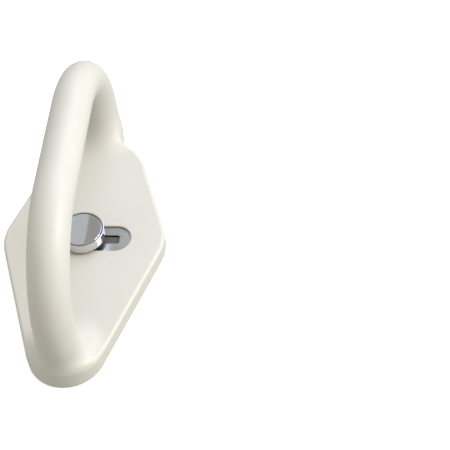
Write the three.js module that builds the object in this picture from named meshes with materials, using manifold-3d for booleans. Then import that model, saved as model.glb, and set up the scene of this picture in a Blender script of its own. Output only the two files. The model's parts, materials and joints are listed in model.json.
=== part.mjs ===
// Suction grab bar: a diamond-shaped base with an arched grip moulded in one shell, held to a
// smooth wall by one suction pad that a sliding chrome knob draws up.
// Millimetres. The wall is the plane z = 0, +Z points away from it and +Y runs along the grip.
import * as THREE from "three";
import { mergeVertices } from "three/addons/utils/BufferGeometryUtils.js";
import Module from "manifold-3d";

const wasm = await Module();
wasm.setup();

// Fits
const GAP = 0.3; // between pieces that touch
const SLIP = 0.1; // between sliding faces

// Outline of the base: a rhombus with rounded corners, whose far end narrows to a lobe
const BASE_HALF_LENGTH = 109.5;
const WAIST_Y = -2.4; // of the side corners, the slot and all that works under it
const SIDE_CORNER_R = 32;
const SIDE_CORNER_X = 20.8; // of the corner's centre
const NEAR_END_R = 24.5;
const FAR_SHOULDER_R = 35;
const FAR_SHOULDER_Y = 49.5;
const FAR_LOBE_R = 12.4;
const FAR_NECK_R = 14;

// Heights above the wall
const SHELL_BOTTOM = 0.4;
const SHELL_TOP = 12;
const SHELL_CEILING = 9.6; // underside of the shell's top wall
const SHELL_WALL = 2.4;
const SHELL_EDGE_R = 2;

// Grip: a hoop with a short flat top, hollow and open to the inside of the base
const GRIP_R = 12.45;
const GRIP_WALL = 3;
const GRIP_HEIGHT = 95; // of the centre line
const GRIP_HALF_FLAT = 33;
const GRIP_BEND_R = 62.5;
const LEG_LEAN = THREE.MathUtils.degToRad(22.4);
const GRIP_START = 26; // height at which the grip leaves the base cover
const FLARE_R = 13; // fillet at the foot of each leg

// Slot, track plate and knob
const SLOT_HALF_LENGTH = 30.8;
const SLOT_HALF_WIDTH = 10.1;
const TRACK_TOP = 10.45;
const TRACK_THICKNESS = 0.8;
const TRACK_FLANGE = 4;
const GROOVE_HALF_LENGTH = 23.3;
const GROOVE_HALF_WIDTH = 3.4;
const GROOVE_CORNER_R = 1.5;
const KNOB_R = 14.5;
const KNOB_BOTTOM = 13.3;
const KNOB_TOP = 20.8;
const KNOB_BEVEL = 0.6;
const KNOB_NECK_R = 3;
const CAP_R = 13.4;
const CAP_THICKNESS = 1.2;
const WASHER_R = 8.8;

// Locking mechanism
const TRAVEL = 18; // knob, each way from the middle
const LIFT = 1; // stem, each way from the middle
const RAMP_SLOPE = LIFT / TRAVEL;
const RAMP_HALF_LENGTH = 22;
const RAMP_INNER = 6.2;
const RAMP_OUTER = 9.6;
const RAMP_HEIGHT = 6.8; // top of the ramp above the wall, at its middle
const CARRIAGE_BOTTOM = 5;
const CARRIAGE_TOP = 9.3;
const CROSSBAR_LENGTH = 4;
const TONGUE_HALF_WIDTH = 3;
const TONGUE_BOTTOM = 7.6;
const RAIL_HALF_LENGTH = 45;
const RAIL_TOP = 8.2;
const RAIL_WIDTH = 2;
const RAIL_PEG_R = 0.9;
const RAIL_PEG_X = 30;
const BLOCK_HALF_LENGTH = 3.5;
const BLOCK_BOTTOM = 4.9;
const BRIDGE_TOP = 6.4;
const EAR_TOP = 8.3;

// Back plate, pads and the stem below it
const BACK_BOTTOM = 1.2;
const BACK_TOP = 3.2;
const DISH_R = 48;
const DISH_WALL = 2;
const DISH_CEILING = 3;
const DISH_TOP = 4.6;
const STEM_HOLE_R = 11.5;
const PAD_R = 44;
const PAD_RIM_WIDTH = 9;
const PAD_THICKNESS = 2.3;
const PAD_MEMBRANE_BOTTOM = 1.2;
const DISC_R = 9.4;
const DISC_THICKNESS = 1.2;
const DISC_BOSS_R = 3.4;
const END_PAD_THICKNESS = 0.9;
const END_PAD_START = 80;

// Fasteners
const SCREW_R = 1.4;
const SCREW_HOLE_R = 1.7;
const SCREW_HEAD_R = 2.7;
const SCREW_HEAD_HEIGHT = 1.5;
const SCREW_BOSS_R = 4.3;
const SCREW_SPOTS = [
  [22, 56],
  [-22, 56],
  [22, -56],
  [-22, -56],
  [0, 70],
  [0, -70],
];
const TRACK_SCREW_X = 22;
const TRACK_SCREW_Y = 12;
const TRACK_SCREW_HOLE_R = 1.1;

const finish = (color, roughness, metalness) =>
  new THREE.MeshStandardMaterial({ color, roughness, metalness });
const shellFinish = () => finish(0xe9e6dc, 0.35, 0);
const chromeFinish = () => finish(0xc9ccd0, 0.08, 1);
const satinSteelFinish = () => finish(0xa9abad, 0.35, 1);
const screwFinish = () => finish(0x9a9c9e, 0.4, 1);
const acetalFinish = () => finish(0xe8e8e4, 0.5, 0);
const darkAcetalFinish = () => finish(0x55534c, 0.5, 0);
const blackFinish = () => finish(0x242424, 0.6, 0);
const backFinish = () => finish(0xd5d2c8, 0.6, 0);
const rubberFinish = () => finish(0x8d9296, 0.5, 0);

// ---- Geometry and booleans -------------------------------------------------

function toSolid(geometry) {
  const bare = new THREE.BufferGeometry();
  const source = geometry.index ? geometry.toNonIndexed() : geometry;
  bare.setAttribute("position", source.getAttribute("position"));
  const merged = mergeVertices(bare, 1e-4);
  return new wasm.Manifold(
    new wasm.Mesh({
      numProp: 3,
      vertProperties: merged.attributes.position.array,
      triVerts: new Uint32Array(merged.index.array),
    }),
  );
}

function toMesh(name, solid, material) {
  const data = solid.getMesh();
  const geometry = new THREE.BufferGeometry();
  geometry.setAttribute(
    "position",
    new THREE.BufferAttribute(new Float32Array(data.vertProperties), 3),
  );
  geometry.setIndex(new THREE.BufferAttribute(new Uint32Array(data.triVerts), 1));
  geometry.computeVertexNormals();
  const mesh = new THREE.Mesh(geometry, material);
  mesh.name = name;
  return mesh;
}

const union = (solids) => solids.reduce((whole, solid) => whole.add(solid));
const cut = (solid, tools) => tools.reduce((whole, tool) => whole.subtract(tool), solid);
const atWaist = (solid) => solid.translate([0, WAIST_Y, 0]);

// A box between two corners.
function block(low, high) {
  const size = high.map((value, i) => value - low[i]);
  const geometry = new THREE.BoxGeometry(...size);
  geometry.translate(...low.map((value, i) => value + size[i] / 2));
  return toSolid(geometry);
}

// A cylinder standing on the plane z = low.
function post(radius, low, high, x = 0, y = 0, sides = 24) {
  const geometry = new THREE.CylinderGeometry(radius, radius, high - low, sides);
  geometry.rotateX(Math.PI / 2);
  geometry.translate(x, y, (low + high) / 2);
  return toSolid(geometry);
}

// A solid of revolution about the Z axis through x, y, from [radius, height] points.
function turned(profile, sides = 32, x = 0, y = 0) {
  const points = profile.map(([radius, height]) => new THREE.Vector2(radius, height));
  const geometry = new THREE.LatheGeometry(points, sides);
  geometry.rotateX(Math.PI / 2);
  geometry.translate(x, y, 0);
  return toSolid(geometry);
}

function extruded(shape, low, high, curveSegments = 5) {
  const geometry = new THREE.ExtrudeGeometry(shape, {
    depth: high - low,
    bevelEnabled: false,
    curveSegments,
  });
  geometry.translate(0, 0, low);
  return toSolid(geometry);
}

function stadium(halfLength, halfWidth) {
  const shape = new THREE.Shape();
  const straight = halfLength - halfWidth;
  shape.absarc(straight, 0, halfWidth, -Math.PI / 2, Math.PI / 2);
  shape.absarc(-straight, 0, halfWidth, Math.PI / 2, (Math.PI * 3) / 2);
  shape.closePath();
  return shape;
}

// The direction, from both centres, of the line that touches two circles on their outside. The
// turn is 1 or -1, for the line on one side of the centres or the other.
function tangentAngle(first, firstR, second, secondR, turn) {
  const [x, y] = [first[0] - second[0], first[1] - second[1]];
  return Math.atan2(y, x) + turn * Math.acos((secondR - firstR) / Math.hypot(x, y));
}

// The base's outline, drawn in by the inset.
function baseOutline(inset = 0) {
  const nearY = NEAR_END_R - BASE_HALF_LENGTH;
  const lobeY = BASE_HALF_LENGTH - FAR_LOBE_R;
  const corner = [SIDE_CORNER_X, WAIST_Y];
  const nearTilt = tangentAngle(corner, SIDE_CORNER_R, [0, nearY], NEAR_END_R, -1);
  const farTilt = tangentAngle(corner, SIDE_CORNER_R, [0, FAR_SHOULDER_Y], FAR_SHOULDER_R, 1);
  // The neck's centre is one neck radius outside both the shoulder's circle and the lobe's.
  const toShoulder = FAR_SHOULDER_R + FAR_NECK_R;
  const toLobe = FAR_LOBE_R + FAR_NECK_R;
  const apart = lobeY - FAR_SHOULDER_Y;
  const along = (apart ** 2 + toShoulder ** 2 - toLobe ** 2) / (2 * apart);
  const neckX = Math.sqrt(toShoulder ** 2 - along ** 2);
  const neckY = FAR_SHOULDER_Y + along;
  const shoulderEnd = Math.atan2(along, neckX);
  const lobeStart = Math.atan2(neckY - lobeY, neckX);

  const back = Math.PI;
  const shape = new THREE.Shape();
  const neck = FAR_NECK_R + inset;
  const shoulder = FAR_SHOULDER_R - inset;
  const side = SIDE_CORNER_R - inset;
  shape.absarc(SIDE_CORNER_X, WAIST_Y, side, nearTilt, farTilt);
  shape.absarc(0, FAR_SHOULDER_Y, shoulder, farTilt, shoulderEnd);
  shape.absarc(neckX, neckY, neck, back + shoulderEnd, back + lobeStart, true);
  shape.absarc(0, lobeY, FAR_LOBE_R - inset, lobeStart, back - lobeStart);
  shape.absarc(-neckX, neckY, neck, -lobeStart, -shoulderEnd, true);
  shape.absarc(0, FAR_SHOULDER_Y, shoulder, back - shoulderEnd, back - farTilt);
  shape.absarc(-SIDE_CORNER_X, WAIST_Y, side, back - farTilt, back - nearTilt);
  shape.absarc(0, nearY, NEAR_END_R - inset, back - nearTilt, 2 * back + nearTilt);
  shape.closePath();
  return shape;
}

// The grip's centre line in the plane x = 0, from below one foot to below the other.
function gripPath(depth) {
  const centreZ = GRIP_HEIGHT - GRIP_BEND_R;
  const path = new THREE.CurvePath();
  const bendPoint = (angle, side) =>
    new THREE.Vector3(
      0,
      side * (GRIP_HALF_FLAT + GRIP_BEND_R * Math.cos(angle)),
      centreZ + GRIP_BEND_R * Math.sin(angle),
    );
  const footPoint = (side) => {
    const top = bendPoint(-LEG_LEAN, side);
    const drop = top.z + depth;
    return new THREE.Vector3(0, top.y - side * drop * Math.tan(LEG_LEAN), -depth);
  };
  class Bend extends THREE.Curve {
    constructor(side) {
      super();
      this.side = side;
    }
    getPoint(t, target = new THREE.Vector3()) {
      const share = this.side > 0 ? 1 - t : t;
      const angle = -LEG_LEAN + share * (Math.PI / 2 + LEG_LEAN);
      return target.copy(bendPoint(angle, this.side));
    }
  }
  const flatEnd = new THREE.Vector3(0, GRIP_HALF_FLAT, GRIP_HEIGHT);
  const flatStart = new THREE.Vector3(0, -GRIP_HALF_FLAT, GRIP_HEIGHT);
  path.add(new THREE.LineCurve3(footPoint(-1), bendPoint(-LEG_LEAN, -1)));
  path.add(new Bend(-1));
  path.add(new THREE.LineCurve3(flatStart, flatEnd));
  path.add(new Bend(1));
  path.add(new THREE.LineCurve3(bendPoint(-LEG_LEAN, 1), footPoint(1)));
  return path;
}

function gripTube(radius, depth, sides, steps) {
  const section = new THREE.Shape();
  section.absarc(0, 0, radius, 0, 2 * Math.PI);
  const geometry = new THREE.ExtrudeGeometry(section, {
    steps,
    curveSegments: sides / 2,
    extrudePath: gripPath(depth),
  });
  return toSolid(geometry);
}

// The concave fillet round the foot of a leg, as a solid of revolution.
function footFlare(side) {
  const steps = 6;
  const profile = [[0, SHELL_TOP - 1]];
  profile.push([GRIP_R + FLARE_R, SHELL_TOP - 1]);
  for (let i = 0; i <= steps; i += 1) {
    const angle = (i / steps) * (Math.PI / 2);
    profile.push([
      GRIP_R + FLARE_R * (1 - Math.sin(angle)),
      SHELL_TOP + FLARE_R * (1 - Math.cos(angle)),
    ]);
  }
  profile.push([0, SHELL_TOP + FLARE_R]);
  const risen = SHELL_TOP + FLARE_R / 2 - (GRIP_HEIGHT - GRIP_BEND_R);
  const y = GRIP_HALF_FLAT + Math.sqrt(GRIP_BEND_R ** 2 - risen ** 2);
  return turned(profile, 32, 0, side * y);
}

// A pan-head screw with a hexagonal socket: the head's outer face is at z = 0 and the shank
// points up.
function screwSolid(headR, headHeight, shankR, length) {
  const body = turned(
    [
      [0, 0],
      [headR * 0.8, 0],
      [headR, headHeight * 0.35],
      [headR, headHeight],
      [shankR, headHeight],
      [shankR, length - shankR / 2],
      [shankR / 2, length],
      [0, length],
    ],
    14,
  );
  const socket = post(headR * 0.45, -1, headHeight * 0.6, 0, 0, 6);
  return body.subtract(socket);
}

// ---- Fixed pieces ----------------------------------------------------------

// The part of the grip's tube between two heights above the wall.
function gripLayer(radius, low, high) {
  const sides = radius < GRIP_R ? 12 : 24;
  return gripTube(radius, 0, sides, 40).intersect(block([-50, -120, low], [50, 120, high]));
}

function grip() {
  const top = 2 * GRIP_HEIGHT;
  const inside = gripLayer(GRIP_R - GRIP_WALL, GRIP_START - 1, top);
  return gripLayer(GRIP_R, GRIP_START, top).subtract(inside);
}

function frontShell() {
  const crownBottom = 4;
  const skirt = extruded(baseOutline(), SHELL_BOTTOM, SHELL_TOP - SHELL_EDGE_R - 1);
  const crown = new THREE.ExtrudeGeometry(baseOutline(), {
    depth: SHELL_TOP - SHELL_EDGE_R - crownBottom,
    bevelEnabled: true,
    bevelThickness: SHELL_EDGE_R,
    bevelSize: SHELL_EDGE_R,
    bevelOffset: -SHELL_EDGE_R,
    bevelSegments: 3,
    curveSegments: 5,
  });
  crown.translate(0, 0, crownBottom);
  const column = extruded(baseOutline(SHELL_EDGE_R / 2), SHELL_TOP - 1, GRIP_START);
  const flares = union([footFlare(1), footFlare(-1)]).intersect(column);
  const stubs = gripLayer(GRIP_R, SHELL_CEILING + 0.5, GRIP_START - GAP);
  const outside = union([skirt, toSolid(crown), stubs, flares]);

  const cavity = extruded(baseOutline(SHELL_WALL), -1, SHELL_CEILING);
  const hollow = gripLayer(GRIP_R - GRIP_WALL, SHELL_CEILING - 1, GRIP_START);
  const slot = extruded(stadium(SLOT_HALF_LENGTH, SLOT_HALF_WIDTH), 0, 20);
  const pocket = extruded(
    stadium(
      SLOT_HALF_LENGTH + TRACK_FLANGE + GAP,
      SLOT_HALF_WIDTH + TRACK_FLANGE + GAP,
    ),
    SHELL_CEILING - 1,
    TRACK_TOP + SLIP,
  );
  const trackHoles = trackScrewSpots().map(([x, y]) =>
    post(TRACK_SCREW_HOLE_R, TRACK_TOP - 1, SHELL_TOP - 0.5, x, y, 16),
  );
  const openings = union([slot, pocket, ...trackHoles]);
  const hollowed = cut(outside, [cavity, hollow, atWaist(openings)]);

  const bosses = SCREW_SPOTS.map(([x, y]) =>
    post(SCREW_BOSS_R, DISH_TOP + GAP, SHELL_CEILING + 1, x, y, 16),
  );
  const pilots = SCREW_SPOTS.map(([x, y]) =>
    post(SCREW_HOLE_R, 0, SHELL_CEILING + 0.4, x, y, 12),
  );
  return cut(union([hollowed, ...bosses]), pilots);
}

function backPlate() {
  const plate = extruded(baseOutline(SHELL_WALL + GAP), BACK_BOTTOM, BACK_TOP);
  const dish = post(DISH_R, BACK_BOTTOM, DISH_TOP, 0, WAIST_Y, 64);
  const recess = post(DISH_R - DISH_WALL, 0, DISH_CEILING, 0, WAIST_Y, 64);
  const bosses = SCREW_SPOTS.map(([x, y]) =>
    post(SCREW_BOSS_R, BACK_BOTTOM, DISH_TOP, x, y, 16),
  );
  const counterbores = SCREW_SPOTS.map(([x, y]) =>
    post(SCREW_HEAD_R + GAP, 0, BACK_BOTTOM + SCREW_HEAD_HEIGHT + SLIP, x, y, 16),
  );
  const holes = SCREW_SPOTS.map(([x, y]) => post(SCREW_HOLE_R, 0, 10, x, y, 12));
  const pegHoles = railPegSpots().map(([x, y]) => post(RAIL_PEG_R + GAP, 0, 10, x, y, 12));
  const stemHole = post(STEM_HOLE_R, 0, 10, 0, WAIST_Y, 40);
  return cut(union([plate, dish, ...bosses]), [
    recess,
    stemHole,
    ...counterbores,
    ...holes,
    ...pegHoles,
  ]);
}

function trackScrewSpots() {
  return [
    [TRACK_SCREW_X, TRACK_SCREW_Y],
    [-TRACK_SCREW_X, TRACK_SCREW_Y],
    [TRACK_SCREW_X, -TRACK_SCREW_Y],
    [-TRACK_SCREW_X, -TRACK_SCREW_Y],
  ];
}

function trackPlate() {
  const low = TRACK_TOP - TRACK_THICKNESS;
  const blank = extruded(
    stadium(SLOT_HALF_LENGTH + TRACK_FLANGE, SLOT_HALF_WIDTH + TRACK_FLANGE),
    low,
    TRACK_TOP,
    8,
  );
  const groove = extruded(grooveShape(), low - 1, TRACK_TOP + 1, 4);
  const holes = trackScrewSpots().map(([x, y]) => post(TRACK_SCREW_HOLE_R, 0, 20, x, y, 16));
  return cut(blank, [groove, ...holes]);
}

// A rectangle with slightly rounded corners.
function grooveShape() {
  const corner = GROOVE_CORNER_R;
  const x = GROOVE_HALF_LENGTH - corner;
  const y = GROOVE_HALF_WIDTH - corner;
  const quarter = Math.PI / 2;
  const shape = new THREE.Shape();
  shape.absarc(x, -y, corner, -quarter, 0);
  shape.absarc(x, y, corner, 0, quarter);
  shape.absarc(-x, y, corner, quarter, 2 * quarter);
  shape.absarc(-x, -y, corner, 2 * quarter, 3 * quarter);
  shape.closePath();
  return shape;
}

function railCentreY() {
  return RAMP_OUTER + GAP + RAIL_WIDTH / 2;
}

function railPegSpots() {
  const y = railCentreY();
  return [
    [RAIL_PEG_X, WAIST_Y + y],
    [-RAIL_PEG_X, WAIST_Y + y],
    [RAIL_PEG_X, WAIST_Y - y],
    [-RAIL_PEG_X, WAIST_Y - y],
  ];
}

// One guide rail about its own middle, with two pegs that plug into the back plate.
function guideRail() {
  const low = DISH_TOP + SLIP;
  const half = RAIL_WIDTH / 2;
  const bar = block([-RAIL_HALF_LENGTH, -half, low], [RAIL_HALF_LENGTH, half, RAIL_TOP]);
  const pegs = [RAIL_PEG_X, -RAIL_PEG_X].map((x) =>
    post(RAIL_PEG_R, DISH_CEILING + SLIP, low + 1, x, 0, 16),
  );
  return union([bar, ...pegs]);
}

function suctionPad() {
  const inner = PAD_R - PAD_RIM_WIDTH;
  return turned(
    [
      [0, PAD_MEMBRANE_BOTTOM],
      [inner - 2.5, PAD_MEMBRANE_BOTTOM],
      [inner - 1, 0.6],
      [inner, 0],
      [PAD_R - 0.6, 0],
      [PAD_R, 0.6],
      [PAD_R, PAD_THICKNESS - 0.6],
      [PAD_R - 0.8, PAD_THICKNESS],
      [0, PAD_THICKNESS],
    ],
    64,
  );
}

function endPad(side) {
  const whole = extruded(baseOutline(SHELL_WALL + 1.6), 0, END_PAD_THICKNESS);
  const low = side > 0 ? END_PAD_START : -120;
  const high = side > 0 ? 120 : -END_PAD_START;
  return whole.intersect(block([-60, low, -1], [60, high, END_PAD_THICKNESS + 1]));
}

// ---- Pieces that slide with the knob ---------------------------------------

function knobBody() {
  const recessR = CAP_R + SLIP;
  const recessZ = KNOB_TOP - CAP_THICKNESS - SLIP;
  const body = turned(
    [
      [0, CARRIAGE_TOP + SLIP],
      [KNOB_NECK_R, CARRIAGE_TOP + SLIP],
      [KNOB_NECK_R, KNOB_BOTTOM],
      [KNOB_R - 0.4, KNOB_BOTTOM],
      [KNOB_R, KNOB_BOTTOM + 0.4],
      [KNOB_R, KNOB_TOP - KNOB_BEVEL],
      [KNOB_R - KNOB_BEVEL, KNOB_TOP],
      [recessR, KNOB_TOP],
      [recessR, recessZ],
      [0, recessZ],
    ],
    48,
  );
  return body.subtract(post(SCREW_HOLE_R, 0, KNOB_TOP - 4.5, 0, 0, 16));
}

function knobCap() {
  const low = KNOB_TOP - CAP_THICKNESS;
  return turned(
    [
      [0, low],
      [CAP_R, low],
      [CAP_R, KNOB_TOP - 0.2],
      [CAP_R - 0.2, KNOB_TOP],
      [0, KNOB_TOP],
    ],
    48,
  );
}

function glideWasher() {
  const ring = post(WASHER_R, TRACK_TOP + SLIP, KNOB_BOTTOM - SLIP, 0, 0, 40);
  return ring.subtract(post(KNOB_NECK_R + GAP, 0, 20));
}

// Two ramps joined at both ends, with a tongue between them that carries the knob.
function camCarriage() {
  const end = RAMP_HALF_LENGTH + CROSSBAR_LENGTH;
  const rampShape = new THREE.Shape();
  const rise = RAMP_HALF_LENGTH * RAMP_SLOPE;
  rampShape.moveTo(-RAMP_HALF_LENGTH - 1, CARRIAGE_BOTTOM);
  rampShape.lineTo(RAMP_HALF_LENGTH + 1, CARRIAGE_BOTTOM);
  rampShape.lineTo(RAMP_HALF_LENGTH + 1, RAMP_HEIGHT - rise - RAMP_SLOPE);
  rampShape.lineTo(-RAMP_HALF_LENGTH - 1, RAMP_HEIGHT + rise + RAMP_SLOPE);
  rampShape.closePath();
  const ramps = [-RAMP_OUTER, RAMP_INNER].map((low) => {
    const geometry = new THREE.ExtrudeGeometry(rampShape, {
      depth: RAMP_OUTER - RAMP_INNER,
      bevelEnabled: false,
    });
    geometry.rotateX(Math.PI / 2);
    geometry.translate(0, low + RAMP_OUTER - RAMP_INNER, 0);
    return toSolid(geometry);
  });
  const crossbars = [-end, RAMP_HALF_LENGTH].map((x) =>
    block([x, -RAMP_OUTER, CARRIAGE_BOTTOM], [x + CROSSBAR_LENGTH, RAMP_OUTER, CARRIAGE_TOP]),
  );
  const tongue = block(
    [-RAMP_HALF_LENGTH - 1, -TONGUE_HALF_WIDTH, TONGUE_BOTTOM],
    [RAMP_HALF_LENGTH + 1, TONGUE_HALF_WIDTH, CARRIAGE_TOP],
  );
  return cut(union([...ramps, ...crossbars, tongue]), [
    post(SCREW_HOLE_R, 0, 20, 0, 0, 16),
    post(2.5, 0, TONGUE_BOTTOM + 1, 0, 0, 20),
  ]);
}

// ---- Pieces that lift with the stem ----------------------------------------

// A bridge under the tongue, with an ear each side that rests on a ramp.
function liftBlock() {
  const innerY = TONGUE_HALF_WIDTH + 0.4;
  const shoulderY = RAMP_INNER - 0.4;
  const earY = RAMP_OUTER - 0.2;
  const half = BLOCK_HALF_LENGTH;
  const bridge = block([-half, -shoulderY, BLOCK_BOTTOM], [half, shoulderY, BRIDGE_TOP]);
  const uprights = [-shoulderY, innerY].map((y) =>
    block([-half, y, BLOCK_BOTTOM], [half, y + shoulderY - innerY, EAR_TOP]),
  );
  const earShape = new THREE.Shape();
  earShape.moveTo(-half, RAMP_HEIGHT + SLIP + half * RAMP_SLOPE);
  earShape.lineTo(half, RAMP_HEIGHT + SLIP - half * RAMP_SLOPE);
  earShape.lineTo(half, EAR_TOP);
  earShape.lineTo(-half, EAR_TOP);
  earShape.closePath();
  const depth = earY - shoulderY + 0.5;
  const ears = [shoulderY - 0.5, -earY].map((y) => {
    const geometry = new THREE.ExtrudeGeometry(earShape, { depth, bevelEnabled: false });
    geometry.rotateX(Math.PI / 2);
    geometry.translate(0, y + depth, 0);
    return toSolid(geometry);
  });
  return cut(union([bridge, ...uprights, ...ears]), [
    post(SCREW_HOLE_R, 0, 20, 0, 0, 16),
    post(SCREW_HEAD_R + SLIP, BRIDGE_TOP - 1, 20),
  ]);
}

function pressureDisc() {
  const low = PAD_THICKNESS + GAP;
  const bossTop = BLOCK_BOTTOM - SLIP;
  return turned(
    [
      [0, low],
      [DISC_R - 0.3, low],
      [DISC_R, low + 0.3],
      [DISC_R, low + DISC_THICKNESS],
      [DISC_BOSS_R, low + DISC_THICKNESS],
      [DISC_BOSS_R, bossTop],
      [SCREW_HOLE_R, bossTop],
      [SCREW_HOLE_R, low + 0.4],
      [0, low + 0.4],
    ],
    40,
  );
}

// ---- Assembly --------------------------------------------------------------

const grabBar = new THREE.Group();
grabBar.name = "suction_grab_bar";

const base = new THREE.Group();
base.add(toMesh("front_shell", frontShell(), shellFinish()));
base.add(toMesh("grip", grip(), shellFinish()));
base.add(toMesh("back_plate", backPlate(), backFinish()));
base.add(toMesh("track_plate", atWaist(trackPlate()), satinSteelFinish()));
base.add(toMesh("suction_pad", atWaist(suctionPad()), rubberFinish()));
base.add(toMesh("end_pad_far", endPad(1), rubberFinish()));
base.add(toMesh("end_pad_near", endPad(-1), rubberFinish()));
grabBar.add(base);

["far", "near"].forEach((end, i) => {
  const rail = toMesh(`guide_rail_${end}`, guideRail(), acetalFinish());
  rail.position.y = WAIST_Y + (1 - 2 * i) * railCentreY();
  base.add(rail);
});

SCREW_SPOTS.forEach(([x, y], i) => {
  const length = SHELL_CEILING - BACK_BOTTOM - 0.5;
  const solid = screwSolid(SCREW_HEAD_R, SCREW_HEAD_HEIGHT, SCREW_R, length);
  const screw = toMesh(`shell_screw_${i + 1}`, solid, screwFinish());
  screw.position.set(x, y, BACK_BOTTOM);
  base.add(screw);
});

trackScrewSpots().forEach(([x, y], i) => {
  const headHeight = 0.9;
  const solid = screwSolid(1.8, headHeight, 0.8, 2.7);
  const screw = toMesh(`track_screw_${i + 1}`, solid, screwFinish());
  screw.position.set(x, WAIST_Y + y, TRACK_TOP - TRACK_THICKNESS - SLIP - headHeight);
  base.add(screw);
});

const slide = new THREE.Group();
slide.position.y = WAIST_Y;
slide.add(toMesh("knob_body", knobBody(), chromeFinish()));
slide.add(toMesh("knob_cap", knobCap(), chromeFinish()));
slide.add(toMesh("glide_washer", glideWasher(), blackFinish()));
slide.add(toMesh("cam_carriage", camCarriage(), darkAcetalFinish()));
const knobScrew = toMesh("knob_screw", screwSolid(2.3, 0.9, SCREW_R, 8.2), screwFinish());
knobScrew.position.z = TONGUE_BOTTOM + 0.05;
slide.add(knobScrew);
grabBar.add(slide);

const lift = new THREE.Group();
lift.position.y = WAIST_Y;
lift.add(toMesh("lift_block", liftBlock(), acetalFinish()));
lift.add(toMesh("pressure_disc", pressureDisc(), satinSteelFinish()));
const liftScrew = toMesh("lift_screw", screwSolid(2.6, 0.9, SCREW_R, 3.2), screwFinish());
liftScrew.rotation.x = Math.PI;
liftScrew.position.z = BRIDGE_TOP - 0.05;
lift.add(liftScrew);
grabBar.add(lift);

export default grabBar;
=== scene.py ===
"""Suction grab bar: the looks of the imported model.

The outer moulding is a distance field turned into a mesh, so that the legs of the grip flow into
the base. The knob's skirt and face are turned profiles. The other pieces keep their CAD mesh.
Shapes are worked out in millimetres in the model's own frame and written to Blender in metres.
"""

import json
import math

import bpy
import numpy as np
from mathutils import Matrix, Vector


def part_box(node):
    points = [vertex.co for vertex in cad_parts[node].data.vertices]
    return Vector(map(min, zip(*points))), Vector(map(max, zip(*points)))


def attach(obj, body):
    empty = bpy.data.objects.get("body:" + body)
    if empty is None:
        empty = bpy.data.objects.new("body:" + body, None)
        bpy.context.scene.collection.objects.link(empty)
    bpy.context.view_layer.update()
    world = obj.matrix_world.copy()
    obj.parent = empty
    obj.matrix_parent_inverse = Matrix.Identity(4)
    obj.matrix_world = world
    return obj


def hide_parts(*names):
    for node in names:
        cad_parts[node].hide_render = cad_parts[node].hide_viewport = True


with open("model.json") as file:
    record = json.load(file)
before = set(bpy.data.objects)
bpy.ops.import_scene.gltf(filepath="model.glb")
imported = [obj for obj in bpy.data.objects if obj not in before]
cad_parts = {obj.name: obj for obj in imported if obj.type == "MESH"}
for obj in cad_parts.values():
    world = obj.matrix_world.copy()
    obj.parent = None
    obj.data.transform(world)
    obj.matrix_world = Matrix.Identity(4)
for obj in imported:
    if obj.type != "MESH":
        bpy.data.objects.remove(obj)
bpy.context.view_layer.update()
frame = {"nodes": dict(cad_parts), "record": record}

MM = 0.001

# Outline of the base
BASE_HALF_LENGTH = 109.5
SIDE_CORNER_R = 32.0
SIDE_CORNER_X = 20.8
NEAR_END_R = 24.5
FAR_SHOULDER_R = 35.0
FAR_SHOULDER_Y = 49.5
FAR_LOBE_R = 12.4
FAR_NECK_R = 14.0
EDGE_R = 2.2
BOTTOM_ROUNDING = 1.0
WALL = 2.4
CEILING = 9.6
INNER_ROUNDING = 0.8

# Grip
GRIP_R = 12.45
GRIP_HALF_FLAT = 33.0
GRIP_BEND_R = 62.5
LEG_LEAN = math.radians(22.4)
FOOT_BLEND = 17.0
LEG_JOIN = 1.5
FAR_LEG_JOIN = 6.5

# Slot, and the pocket under it that holds the track plate
SLOT_HALF_LENGTH = 30.8
SLOT_HALF_WIDTH = 10.1
SLOT_CUT = 5.0
SLOT_ROUNDING = 0.9
POCKET_FLANGE = 4.3
POCKET_TOP = 10.55

# Knob: the height below which the skirt is painted black as shade under it, and the radius inside
# which it is painted black as shade in the gap round the face
SKIRT_SHADE_TOP = 14.2
FACE_GAP_SHADE_R = 13.5
FACE_EDGE_R = 0.3
FACE_INSET = 0.45
SKIRT_TOP_R = 0.45
SKIRT_BOTTOM_R = 0.3
UNDERCUT_DEPTH = 0.9
UNDERCUT_HEIGHT = 0.7
NECK_R = 3.0

# Soft boxes, in metres
BOX_DISTANCE = 1.3
BOX_SIZE = 0.8


def node_mm(node):
    """Lowest and highest corner of a CAD node, in millimetres."""
    low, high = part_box(node)
    return np.array(low) / MM, np.array(high) / MM


SHELL_LOW, SHELL_HIGH = node_mm("front_shell")
SHELL_BOTTOM = SHELL_LOW[2]
SHELL_TOP = 12.0
GRIP_HEIGHT = node_mm("grip")[1][2] - GRIP_R
TRACK_LOW, TRACK_HIGH = node_mm("track_plate")
WAIST_Y = (TRACK_LOW[1] + TRACK_HIGH[1]) / 2


# ---- Camera, floor and light ------------------------------------------------


def add_camera():
    """The camera of the studio view: its place and axes in the model's frame."""
    data = bpy.data.cameras.new("studio_camera")
    data.sensor_width = 36.0
    data.lens = 100.3
    data.clip_start = 0.01
    camera = bpy.data.objects.new("studio_camera", data)
    bpy.context.scene.collection.objects.link(camera)
    right = Vector((0.9954, 0.06828, -0.06721)).normalized()
    forward = Vector((-0.09524, 0.62862, -0.77186)).normalized()
    up = right.cross(forward).normalized()
    right = forward.cross(up)
    turn = Matrix((right, up, -forward)).transposed()
    place = Vector((168.7, -501.3, 639.1)) * MM
    camera.matrix_world = Matrix.Translation(place) @ turn.to_4x4()
    bpy.context.scene.camera = camera


add_camera()


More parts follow.
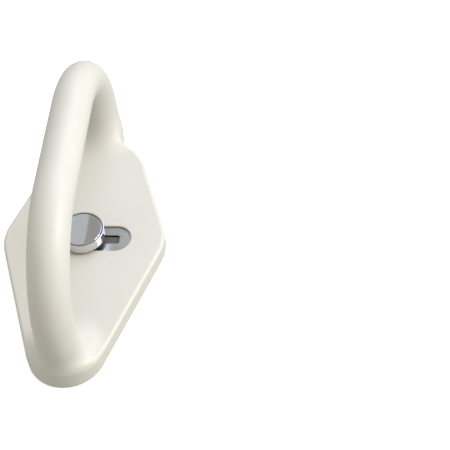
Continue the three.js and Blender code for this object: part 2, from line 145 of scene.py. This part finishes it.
def add_area_light(name, place, power, colour):
    """A square soft box that faces the origin."""
    data = bpy.data.lights.new(name, "AREA")
    data.shape = "RECTANGLE"
    data.size = data.size_y = BOX_SIZE
    data.energy = power
    data.color = colour
    light = bpy.data.objects.new(name, data)
    bpy.context.scene.collection.objects.link(light)
    light.location = place
    light.rotation_euler = (-place).to_track_quat("-Z", "Y").to_euler()


def add_studio():
    """Soft boxes round the object, all the same distance away and pointing at its foot."""
    world = bpy.data.worlds.new("studio_world")
    bpy.context.scene.world = world
    world.use_nodes = True
    background = world.node_tree.nodes["Background"]
    background.inputs["Color"].default_value = (0.995, 1.0, 0.90, 1.0)
    background.inputs["Strength"].default_value = 0.56
    bpy.context.scene.view_settings.view_transform = "Standard"
    boxes = {
        "right": ((0.8, 0.0, 0.6), 12.2, (1.0, 0.98, 0.935)),
        "back_right": ((0.3, 0.63, 0.73), 6.3, (0.65, 0.75, 1.0)),
        "front_right": ((0.3, -0.35, 0.9), 1.8, (0.86, 0.91, 1.0)),
        "left": ((-0.8, 0.0, 0.6), 1.5, (1.0, 0.92, 0.95)),
        "left_back": ((-0.8, 0.45, 0.5), 1.2, (0.75, 0.87, 1.0)),
        "right_low": ((0.95, 0.0, 0.3), 3.2, (0.66, 0.80, 1.0)),
    }
    for name, (direction, power, colour) in boxes.items():
        add_area_light(name, BOX_DISTANCE * Vector(direction).normalized(), power, colour)


# ---- Materials --------------------------------------------------------------


class Painter:
    """Adds nodes to a material's tree and joins them up."""

    def __init__(self, name):
        self.material = bpy.data.materials.new(name)
        self.material.use_nodes = True
        self.tree = self.material.node_tree
        self.shader = self.tree.nodes["Principled BSDF"]
        self.place = self.add("ShaderNodeTexCoord").outputs["Object"]

    def add(self, kind, **values):
        node = self.tree.nodes.new(kind)
        for key, value in values.items():
            setattr(node, key, value)
        return node

    def link(self, output, target):
        self.tree.links.new(output, target)

    def set(self, **values):
        for key, value in values.items():
            self.shader.inputs[key.replace("_", " ")].default_value = value

    def stretched(self, scale):
        mapping = self.add("ShaderNodeMapping")
        mapping.inputs["Scale"].default_value = scale
        self.link(self.place, mapping.inputs["Vector"])
        return mapping.outputs["Vector"]

    def noise(self, scale, detail=3.0, vector=None):
        node = self.add("ShaderNodeTexNoise")
        node.inputs["Scale"].default_value = scale
        node.inputs["Detail"].default_value = detail
        self.link(vector or self.place, node.inputs["Vector"])
        return node.outputs["Fac"]

    def spread(self, factor, low, high):
        """The factor's middle range stretched from low to high."""
        node = self.add("ShaderNodeMapRange")
        node.inputs["From Min"].default_value = 0.3
        node.inputs["From Max"].default_value = 0.7
        node.inputs["To Min"].default_value = low
        node.inputs["To Max"].default_value = high
        self.link(factor, node.inputs["Value"])
        return node.outputs["Result"]

    def between(self, factor, first, second):
        node = self.add("ShaderNodeMix", data_type="RGBA")
        self.link(factor, node.inputs["Factor"])
        node.inputs["A"].default_value = (*first, 1.0)
        node.inputs["B"].default_value = (*second, 1.0)
        return node.outputs["Result"]

    def blend(self, factor, output, second):
        """A colour output, turning into a constant colour where the factor is one."""
        node = self.add("ShaderNodeMix", data_type="RGBA")
        self.link(factor, node.inputs["Factor"])
        self.link(output, node.inputs["A"])
        node.inputs["B"].default_value = (*second, 1.0)
        return node.outputs["Result"]

    def math(self, operation, output, value, swap=False):
        """A sum with one constant, which comes first if they are swapped."""
        node = self.add("ShaderNodeMath", operation=operation)
        first, second = (1, 0) if swap else (0, 1)
        self.link(output, node.inputs[first])
        node.inputs[second].default_value = value
        return node.outputs["Value"]

    def either(self, first, second):
        node = self.add("ShaderNodeMath", operation="MAXIMUM")
        self.link(first, node.inputs[0])
        self.link(second, node.inputs[1])
        return node.outputs["Value"]

    def height(self):
        node = self.add("ShaderNodeSeparateXYZ")
        self.link(self.place, node.inputs["Vector"])
        return node.outputs["Z"]

    def radius(self, centre_y):
        """Distance from an upright axis at x = 0."""
        node = self.add("ShaderNodeVectorMath", operation="MULTIPLY_ADD")
        self.link(self.place, node.inputs[0])
        node.inputs[1].default_value = (1.0, 1.0, 0.0)
        node.inputs[2].default_value = (0.0, -centre_y * MM, 0.0)
        length = self.add("ShaderNodeVectorMath", operation="LENGTH")
        self.link(node.outputs["Vector"], length.inputs[0])
        return length.outputs["Value"]

    def colour(self, output):
        self.link(output, self.shader.inputs["Base Color"])

    def roughness(self, output):
        self.link(output, self.shader.inputs["Roughness"])

    def bump(self, height, distance, strength=1.0):
        node = self.add("ShaderNodeBump")
        node.inputs["Distance"].default_value = distance
        node.inputs["Strength"].default_value = strength
        self.link(height, node.inputs["Height"])
        self.link(node.outputs["Normal"], self.shader.inputs["Normal"])


def shell_material():
    paint = Painter("cream_moulding")
    cloud = paint.spread(paint.noise(18.0), 0.0, 1.0)
    paint.colour(paint.between(cloud, (0.600, 0.574, 0.520), (0.620, 0.594, 0.540)))
    paint.roughness(paint.spread(paint.noise(60.0), 0.38, 0.44))
    paint.bump(paint.noise(900.0, 2.0), 0.00002, 0.25)
    paint.set(IOR=1.45)
    paint.set(Subsurface_Weight=0.15, Subsurface_Scale=0.004)
    paint.set(Subsurface_Radius=(1.0, 0.8, 0.5))
    return paint.material


def chrome_material(name, tint, low, high, painted_shade=False):
    """Polished chrome; where asked, it is painted black and not metallic below a given height and
    inside a given radius, as shade under the skirt and in the gap round the face.
    """
    paint = Painter(name)
    paint.set(Metallic=1.0)
    smudge = paint.noise(90.0, 4.0)
    colour = paint.between(smudge, tint, tuple(0.97 * c for c in tint))
    if painted_shade:
        # Painted shade: black and not metallic under the skirt and in the gap round the face.
        shade_mask = paint.either(
            paint.math("LESS_THAN", paint.height(), SKIRT_SHADE_TOP * MM),
            paint.math("LESS_THAN", paint.radius(WAIST_Y), FACE_GAP_SHADE_R * MM),
        )
        colour = paint.blend(shade_mask, colour, (0.006, 0.006, 0.006))
        metal = paint.math("SUBTRACT", shade_mask, 1.0, swap=True)
        paint.link(metal, paint.shader.inputs["Metallic"])
    paint.colour(colour)
    paint.roughness(paint.spread(smudge, low, high))
    paint.bump(paint.noise(220.0, 1.0), 0.00001, 0.05)
    return paint.material


def brushed_material(name, dark, light, stretch, rough, groove_shade_top=None):
    """Brushed metal; where a height in millimetres is given, what lies below it is painted nearly
    black, as the shade in the groove and under the plate.
    """
    paint = Painter(name)
    paint.set(Metallic=1.0)
    lines = paint.noise(1.0, 4.0, paint.stretched(stretch))
    colour = paint.between(lines, dark, light)
    if groove_shade_top is not None:
        # Painted shade: nearly black on the groove's walls and on everything below the plate's
        # face.
        groove_shade = paint.math("LESS_THAN", paint.height(), groove_shade_top * MM)
        colour = paint.blend(groove_shade, colour, (0.03, 0.03, 0.03))
    paint.colour(colour)
    paint.roughness(paint.spread(lines, rough - 0.06, rough + 0.08))
    paint.bump(lines, 0.00003, 0.35)
    return paint.material


def moulded_material(name, dark, light, rough, grain, height):
    """Plain moulded plastic, rubber or foam: colour clouds, uneven gloss and a surface grain."""
    paint = Painter(name)
    cloud = paint.spread(paint.noise(40.0), 0.0, 1.0)
    paint.colour(paint.between(cloud, dark, light))
    paint.roughness(paint.spread(paint.noise(120.0), rough - 0.07, rough + 0.07))
    paint.bump(paint.noise(grain, 2.0), height, 0.5)
    return paint.material


MATERIALS = {
    "shell": shell_material(),
    "back": moulded_material(
        "back_plastic", (0.62, 0.60, 0.54), (0.68, 0.66, 0.60), 0.5, 1500.0, 0.00004
    ),
    # Satin steel, painted nearly black as shade from just under the plate's face down.
    "track": brushed_material(
        "satin_steel",
        (0.38, 0.38, 0.375),
        (0.55, 0.548, 0.53),
        (60.0, 2600.0, 900.0),
        0.34,
        TRACK_HIGH[2] - 0.05,
    ),
    # The skirt's chrome, painted black as shade under it and in the gap round the face.
    "chrome": chrome_material("bright_chrome", (0.71, 0.72, 0.73), 0.05, 0.11, painted_shade=True),
    "cap": chrome_material("polished_chrome", (0.78, 0.80, 0.93), 0.02, 0.05),
    "black": moulded_material(
        "black_acetal", (0.012, 0.012, 0.012), (0.02, 0.02, 0.02), 0.45, 1200.0, 0.00003
    ),
    "acetal": moulded_material(
        "white_acetal", (0.70, 0.70, 0.66), (0.78, 0.78, 0.74), 0.42, 1000.0, 0.00002
    ),
    "dark_acetal": moulded_material(
        "grey_acetal", (0.085, 0.080, 0.068), (0.11, 0.104, 0.09), 0.45, 1000.0, 0.00002
    ),
    "rubber": moulded_material(
        "grey_rubber", (0.13, 0.14, 0.15), (0.18, 0.19, 0.20), 0.38, 700.0, 0.00003
    ),
    "foam": moulded_material(
        "anti_slip_foam", (0.055, 0.057, 0.06), (0.085, 0.087, 0.09), 0.85, 2600.0, 0.0002
    ),
    "screw": brushed_material(
        "zinc_steel", (0.40, 0.41, 0.43), (0.60, 0.60, 0.60), (900.0, 900.0, 300.0), 0.32
    ),
    "steel": brushed_material(
        "turned_steel", (0.42, 0.43, 0.44), (0.60, 0.60, 0.61), (500.0, 500.0, 2000.0), 0.28
    ),
}


# ---- Mesh helpers -----------------------------------------------------------


def new_piece(name, mesh, slot, body, *nodes):
    """A finished mesh that stands for one or more CAD nodes."""
    piece = bpy.data.objects.new(name, mesh)
    bpy.context.scene.collection.objects.link(piece)
    mesh.materials.append(MATERIALS[slot])
    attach(piece, body)
    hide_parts(*nodes)
    return piece


def mesh_from(name, points_mm, faces, sharp_angle=math.radians(40)):
    mesh = bpy.data.meshes.new(name)
    mesh.from_pydata((np.asarray(points_mm) * MM).tolist(), [], faces)
    mesh.validate()
    mesh.update()
    mesh.shade_smooth()
    mesh.set_sharp_from_angle(angle=sharp_angle)
    return mesh


def arc(centre, radius, start, end, steps):
    """Points along an arc, in degrees."""
    angles = np.radians(np.linspace(start, end, steps + 1))
    x = centre[0] + radius * np.cos(angles)
    y = centre[1] + radius * np.sin(angles)
    return list(zip(x, y))


def turned(name, profile, centre_y, segments=144):
    """A solid of revolution about an upright axis, from a profile that starts and ends on it."""
    inner = profile[1:-1]
    angles = np.linspace(0, 2 * math.pi, segments, endpoint=False)
    points = [(0.0, centre_y, profile[0][1]), (0.0, centre_y, profile[-1][1])]
    for radius, height in inner:
        for angle in angles:
            side = radius * math.sin(angle)
            points.append((radius * math.cos(angle), centre_y + side, height))
    faces = []
    for s in range(segments):
        t = (s + 1) % segments
        faces.append((0, 2 + t, 2 + s))
        for ring in range(len(inner) - 1):
            low = 2 + ring * segments
            high = low + segments
            faces.append((low + s, low + t, high + t, high + s))
        last = 2 + (len(inner) - 1) * segments
        faces.append((1, last + s, last + t))
    return mesh_from(name, points, faces)


# ---- The outer moulding as a distance field ---------------------------------


def tangent_angle(first, first_r, second, second_r, turn):
    """Direction from both centres of the line that touches two circles on their outside."""
    x, y = first[0] - second[0], first[1] - second[1]
    tilt = math.acos((second_r - first_r) / math.hypot(x, y))
    return math.degrees(math.atan2(y, x) + turn * tilt)


def outline_points():
    """The base's outline in plan, going round anticlockwise from the right-hand corner."""
    near_y = NEAR_END_R - BASE_HALF_LENGTH
    lobe_y = BASE_HALF_LENGTH - FAR_LOBE_R
    corner = (SIDE_CORNER_X, WAIST_Y)
    near_tilt = tangent_angle(corner, SIDE_CORNER_R, (0, near_y), NEAR_END_R, -1)
    far_tilt = tangent_angle(corner, SIDE_CORNER_R, (0, FAR_SHOULDER_Y), FAR_SHOULDER_R, 1)
    to_shoulder = FAR_SHOULDER_R + FAR_NECK_R
    to_lobe = FAR_LOBE_R + FAR_NECK_R
    apart = lobe_y - FAR_SHOULDER_Y
    along = (apart**2 + to_shoulder**2 - to_lobe**2) / (2 * apart)
    neck = (math.sqrt(to_shoulder**2 - along**2), FAR_SHOULDER_Y + along)
    shoulder_end = math.degrees(math.atan2(along, neck[0]))
    lobe_start = math.degrees(math.atan2(neck[1] - lobe_y, neck[0]))
    right = arc((0, near_y), NEAR_END_R, -90, near_tilt, 30)
    right += arc(corner, SIDE_CORNER_R, near_tilt, far_tilt, 16)
    right += arc((0, FAR_SHOULDER_Y), FAR_SHOULDER_R, far_tilt, shoulder_end, 20)
    right += arc(neck, FAR_NECK_R, 180 + shoulder_end, 180 + lobe_start, 16)[1:]
    right += arc((0, lobe_y), FAR_LOBE_R, lobe_start, 90, 30)[1:]
    left = [(-x, y) for x, y in reversed(right[1:-1])]
    return np.array(right + left)


OUTLINE = outline_points()


def outline_distance(x, y):
    """Signed distance in plan to the outline, negative inside."""
    nearest = np.full(x.shape, np.inf)
    inside = np.zeros(x.shape, bool)
    ends = np.roll(OUTLINE, -1, axis=0)
    for (x0, y0), (x1, y1) in zip(OUTLINE, ends):
        dx, dy = x1 - x0, y1 - y0
        share = ((x - x0) * dx + (y - y0) * dy) / (dx * dx + dy * dy)
        share = np.clip(share, 0, 1)
        nearest = np.minimum(nearest, (x - x0 - share * dx) ** 2 + (y - y0 - share * dy) ** 2)
        if dy:
            crosses = ((y0 > y) != (y1 > y)) & (x < (y - y0) / dy * dx + x0)
            inside ^= crosses
    return np.where(inside, -1.0, 1.0) * np.sqrt(nearest)


def smooth_min(a, b, width):
    share = np.maximum(width - np.abs(a - b), 0) / width
    return np.minimum(a, b) - share * share * width / 4


def smooth_max(a, b, width):
    return -smooth_min(-a, -b, width)


def fade(value, gone, full):
    """Zero up to gone and one from full on, with a straight ramp between them."""
    return np.clip((value - gone) / (full - gone), 0, 1)


def stadium_distance(x, y, half_length, half_width):
    over = np.maximum(np.abs(x) - (half_length - half_width), 0)
    return np.hypot(over, y) - half_width


def grip_distance(x, y, z):
    """Distance from the grip's centre line: a flat top, two bends and two leaning legs."""
    y = np.abs(y)
    centre_z = GRIP_HEIGHT - GRIP_BEND_R
    out, up = y - GRIP_HALF_FLAT, z - centre_z
    flat = np.abs(z - GRIP_HEIGHT)
    bend = np.abs(np.hypot(out, up) - GRIP_BEND_R)
    foot_out = GRIP_BEND_R * math.cos(LEG_LEAN)
    foot_up = -GRIP_BEND_R * math.sin(LEG_LEAN)
    along = (out - foot_out) * math.sin(LEG_LEAN) + (up - foot_up) * math.cos(LEG_LEAN)
    leg = np.abs((out - foot_out) * math.cos(LEG_LEAN) - (up - foot_up) * math.sin(LEG_LEAN))
    leg = np.where(along > 0, np.hypot(leg, along), leg)
    below = out * math.sin(LEG_LEAN) + up * math.cos(LEG_LEAN) < 0
    in_plane = np.where(out < 0, flat, np.where(below, leg, bend))
    in_plane = np.where((out < 0) & (up < 0), np.hypot(out, up) + GRIP_BEND_R, in_plane)
    return np.hypot(x, in_plane)


def shell_distance(x, y, z, edge):
    """Distance field of the outer moulding; edge is the distance in plan to its outline."""
    tube = grip_distance(x, y, z) - GRIP_R
    side = edge + EDGE_R
    top = smooth_min(tube, z - SHELL_TOP, FOOT_BLEND) + EDGE_R
    body = np.hypot(np.maximum(side, 0), np.maximum(top, 0))
    body = body + np.minimum(np.maximum(side, top), 0) - EDGE_R
    join = LEG_JOIN * fade(z, 40, 30)
    join = join + FAR_LEG_JOIN * (fade(y, 50, 70) * fade(y, 104, 94)) * fade(z, 27, 15)
    solid = smooth_min(tube, body, join + 0.001)
    solid = smooth_max(solid, SHELL_BOTTOM - z, BOTTOM_ROUNDING)
    slot = stadium_distance(x, y - WAIST_Y, SLOT_HALF_LENGTH, SLOT_HALF_WIDTH)
    slot = np.maximum(slot, np.abs(z - SHELL_TOP) - SLOT_CUT)
    solid = smooth_max(solid, -slot, SLOT_ROUNDING)
    half_length = SLOT_HALF_LENGTH + POCKET_FLANGE
    pocket = stadium_distance(x, y - WAIST_Y, half_length, SLOT_HALF_WIDTH + POCKET_FLANGE)
    pocket = np.maximum(pocket, z - POCKET_TOP)
    cavity = np.maximum(edge + WALL, z - CEILING)
    return smooth_max(solid, -np.minimum(pocket, cavity), INNER_ROUNDING)


def spaced(low, fine_low, fine_high, high, coarse, fine):
    """Grid lines from low to high, closer together between the two fine limits."""
    first = np.arange(fine_low, low - coarse, -coarse)[::-1]
    middle = np.arange(fine_low, fine_high, fine)
    last = np.arange(middle[-1] + coarse, high + coarse, coarse)
    return np.concatenate([first, middle[1:], last])


def surface_net(field, axes):
    """One vertex in each cell that the surface crosses, and one quad for each crossed edge."""
    cells = tuple(n - 1 for n in field.shape)
    total = int(np.prod(cells))
    strides = np.array([cells[1] * cells[2], cells[2], 1])
    sums = np.zeros((3, total))
    counts = np.zeros(total)
    quads = []
    inside = field < 0
    for axis in range(3):
        lower = [slice(None)] * 3
        upper = [slice(None)] * 3
        lower[axis], upper[axis] = slice(0, -1), slice(1, None)
        crossed = inside[tuple(lower)] != inside[tuple(upper)]
        at = np.array(np.nonzero(crossed))
        first, second = (axis + 1) % 3, (axis + 2) % 3
        kept = (at[first] > 0) & (at[second] > 0)
        kept &= (at[first] < cells[first]) & (at[second] < cells[second])
        at = at[:, kept]
        step = np.zeros((3, 1), int)
        step[axis] = 1
        a = field[tuple(at)]
        b = field[tuple(at + step)]
        point = np.array([axes[i][at[i]] for i in range(3)], float)
        point[axis] += a / (a - b) * (axes[axis][at[axis] + 1] - axes[axis][at[axis]])
        corner = (at * strides[:, None]).sum(0)
        ring = [
            corner - strides[first] - strides[second],
            corner - strides[second],
            corner,
            corner - strides[first],
        ]
        for cell in ring:
            counts += np.bincount(cell, minlength=total)
            for i in range(3):
                sums[i] += np.bincount(cell, weights=point[i], minlength=total)
        ring = np.array(ring).T
        outward = a < 0
        quads.append(np.where(outward[:, None], ring, ring[:, ::-1]))
    used = np.nonzero(counts)[0]
    index = np.full(total, -1)
    index[used] = np.arange(len(used))
    return (sums[:, used] / counts[used]).T, index[np.concatenate(quads)]


def settle(points, rounds=3, probe=0.02, least_slope=0.05, longest_step=0.3):
    """Moves points onto the moulding's surface; returns them with the surface's normals."""
    for turn in range(rounds + 1):
        x, y, z = points.T
        edge = outline_distance(x, y)
        here = shell_distance(x, y, z, edge)
        slope = np.stack(
            [
                shell_distance(x + probe, y, z, outline_distance(x + probe, y)) - here,
                shell_distance(x, y + probe, z, outline_distance(x, y + probe)) - here,
                shell_distance(x, y, z + probe, edge) - here,
            ],
            axis=1,
        )
        slope /= probe
        steep = np.maximum((slope**2).sum(1), least_slope)
        step = np.clip(here / steep, -longest_step, longest_step)
        if turn < rounds:
            points = points - slope * step[:, None]
    return points, slope / np.linalg.norm(slope, axis=1)[:, None]


def add_shell():
    """The moulding on a grid whose lines lie closer together round the slot."""
    reach_x, reach_y = SHELL_HIGH[0] + 2, SHELL_HIGH[1] + 2
    slot_reach = SLOT_HALF_WIDTH + 1
    axes = [
        spaced(-reach_x, -SLOT_HALF_LENGTH - 1, SLOT_HALF_LENGTH + 1, reach_x, 1.0, 0.8),
        spaced(-reach_y, WAIST_Y - slot_reach, WAIST_Y + slot_reach, reach_y, 1.1, 0.55),
        spaced(SHELL_BOTTOM - 2, 9.0, 13.2, GRIP_HEIGHT + GRIP_R + 2, 1.1, 0.42),
    ]
    flat_x, flat_y = np.meshgrid(axes[0], axes[1], indexing="ij")
    edge = outline_distance(flat_x, flat_y)
    field = shell_distance(
        axes[0][:, None, None], axes[1][None, :, None], axes[2][None, None, :], edge[:, :, None]
    )
    points, quads = surface_net(field, axes)
    points, normals = settle(points)
    mesh = bpy.data.meshes.new("shell_moulding")
    mesh.from_pydata((points * MM).tolist(), [], quads.tolist())
    mesh.update()
    mesh.shade_smooth()
    mesh.normals_split_custom_set_from_vertices(normals.tolist())
    new_piece("shell_moulding", mesh, "shell", "base", "front_shell", "grip")


# ---- Knob -------------------------------------------------------------------


def add_knob():
    """The skirt, with an undercut below and a gap round the face, both painted black as shade, and
    the face.
    """
    low, high = node_mm("knob_body")
    radius, top = high[0], high[2]
    cap_low, cap_high = node_mm("knob_cap")
    cap_radius = cap_high[0]
    skirt_bottom = node_mm("glide_washer")[1][2] + 0.1
    undercut_radius = radius - UNDERCUT_DEPTH
    undercut_top = skirt_bottom + UNDERCUT_HEIGHT
    bottom_edge = (radius - SKIRT_BOTTOM_R, undercut_top + SKIRT_BOTTOM_R)
    floor_height = cap_low[2] - 0.1
    profile = [(0, low[2]), (NECK_R, low[2]), (NECK_R, skirt_bottom)]
    profile += [(undercut_radius, skirt_bottom), (undercut_radius, undercut_top)]
    profile += arc(bottom_edge, SKIRT_BOTTOM_R, -90, 0, 4)
    profile += arc((radius - SKIRT_TOP_R, top - SKIRT_TOP_R), SKIRT_TOP_R, 0, 90, 8)
    profile += arc((cap_radius + 0.3, top - 0.2), 0.2, 90, 180, 4)
    profile += [(cap_radius + 0.08, floor_height), (0, floor_height)]
    new_piece("knob_skirt", turned("knob_skirt", profile, WAIST_Y), "chrome", "slider", "knob_body")
    face_radius = cap_radius - FACE_INSET
    cap = [(0, cap_low[2]), (face_radius, cap_low[2])]
    cap += arc((face_radius - FACE_EDGE_R, top - FACE_EDGE_R), FACE_EDGE_R, 0, 90, 5)
    cap += [(0, top)]
    new_piece("knob_disc", turned("knob_disc", cap, WAIST_Y), "cap", "slider", "knob_cap")


# ---- CAD nodes that keep their shape ----------------------------------------


def finish_cad_nodes():
    """Gives each CAD node the material of its slot in the record."""
    slots = {s["node"]: s["material_slot"] for s in frame["record"]["subparts"]}
    for name, piece in frame["nodes"].items():
        piece.data.materials.clear()
        piece.data.materials.append(MATERIALS[slots[name]])


def add_floor():
    """A pale floor that the object neither reflects nor is lit by."""
    size = 6.0
    mesh = bpy.data.meshes.new("floor")
    corners = [(-size, -size, 0), (size, -size, 0), (size, size, 0), (-size, size, 0)]
    mesh.from_pydata(corners, [], [(0, 1, 2, 3)])
    floor = bpy.data.objects.new("floor", mesh)
    floor.location.z = -0.0002
    bpy.context.scene.collection.objects.link(floor)
    floor.visible_diffuse = False
    floor.visible_glossy = False
    paint = Painter("pale_floor")
    paint.set(Roughness=0.8)
    paint.set(Emission_Strength=0.5)
    paint.shader.inputs["Base Color"].default_value = (0.93, 0.93, 0.92, 1.0)
    paint.shader.inputs["Emission Color"].default_value = (1.0, 1.0, 1.0, 1.0)
    mesh.materials.append(paint.material)


add_studio()
add_floor()
finish_cad_nodes()
add_shell()
add_knob()
